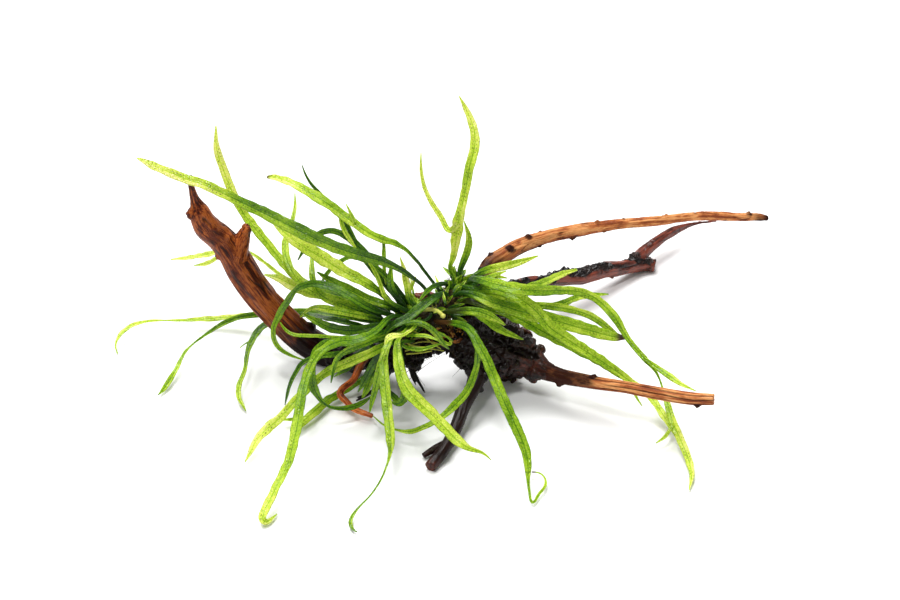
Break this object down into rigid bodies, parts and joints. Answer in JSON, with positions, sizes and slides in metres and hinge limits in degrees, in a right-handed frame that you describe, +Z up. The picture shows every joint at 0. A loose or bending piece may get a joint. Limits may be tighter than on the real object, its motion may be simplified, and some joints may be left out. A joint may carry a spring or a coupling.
{
  "type": "java fern on driftwood",
  "caption": "Java fern with narrow arching fronds growing from a rhizome on a branching piece of driftwood that stands on its own.",
  "frame": {"origin": "centre of the bounding box's footprint, on the ground that the driftwood rests on", "axes": "+Z up, +X towards the right as seen from the front, +Y towards the back; the longest extent is along X"},
  "size_m": [0.2862, 0.2201, 0.1171],
  "materials": {
    "reddish_wood": "satin",
    "orange_wood": "satin",
    "dark_wood": "satin",
    "rhizome_brown": "matte",
    "young_green": "satin",
    "leaf_pale": "satin",
    "leaf_bright": "satin",
    "leaf_mid": "satin",
    "leaf_dark": "satin"
  },
  "bodies": {
    "root": {"hub": "dark_wood", "left_arm": "reddish_wood", "rear_upper_branch": "orange_wood", "rear_lower_branch": "dark_wood", "front_right_branch": "orange_wood", "front_leg": "dark_wood", "red_twig": "reddish_wood", "dark_twig": "dark_wood", "root_twig": "dark_wood", "rhizome": "rhizome_brown", "young_shoot": "young_green", "far_left_pale_frond": "leaf_pale", "far_left_broad_frond": "leaf_pale", "upright_left_frond": "leaf_bright", "left_floor_frond_long": "leaf_pale", "left_floor_frond_drooping": "leaf_mid", "left_floor_frond_hooked": "leaf_dark", "left_pale_blade": "leaf_pale", "left_grey_blade": "leaf_dark", "left_upright_blade": "leaf_bright", "tall_side_frond": "leaf_mid", "tall_frond": "leaf_bright", "right_pale_frond": "leaf_pale", "right_small_forked_frond": "leaf_bright", "right_forked_frond": "leaf_mid", "right_lower_frond": "leaf_dark", "right_brown_tipped_frond": "leaf_mid", "right_middle_frond": "leaf_bright", "right_outer_frond": "leaf_mid", "front_left_crossing_frond": "leaf_bright", "right_short_frond": "leaf_dark", "right_inner_frond": "leaf_bright", "front_right_hanging_frond": "leaf_dark", "crown_leftward_frond": "leaf_dark", "crown_dark_frond": "leaf_dark", "crown_yellow_frond": "leaf_pale", "left_teal_arching_frond": "leaf_dark", "left_brown_tipped_frond": "leaf_bright", "left_small_arc_frond": "leaf_mid", "left_upright_dark_frond": "leaf_dark", "left_narrow_frond": "leaf_bright", "left_parallel_frond": "leaf_mid", "left_under_frond": "leaf_pale", "long_left_frond": "leaf_dark", "left_draped_frond": "leaf_dark", "left_short_frond": "leaf_bright", "left_low_frond": "leaf_dark", "left_thin_looping_frond": "leaf_bright", "front_left_yellow_frond": "leaf_pale", "front_left_thin_frond": "leaf_dark", "front_left_looped_frond": "leaf_dark", "front_left_short_frond": "leaf_mid", "front_left_hanging_frond": "leaf_mid", "crown_rightward_frond": "leaf_mid", "crown_small_frond_upper": "leaf_bright", "crown_small_frond_lower": "leaf_mid", "front_curled_frond": "leaf_dark", "front_glossy_frond": "leaf_mid", "front_bright_frond": "leaf_bright", "crown_pale_blade": "leaf_pale"}
  },
  "joints": []
}
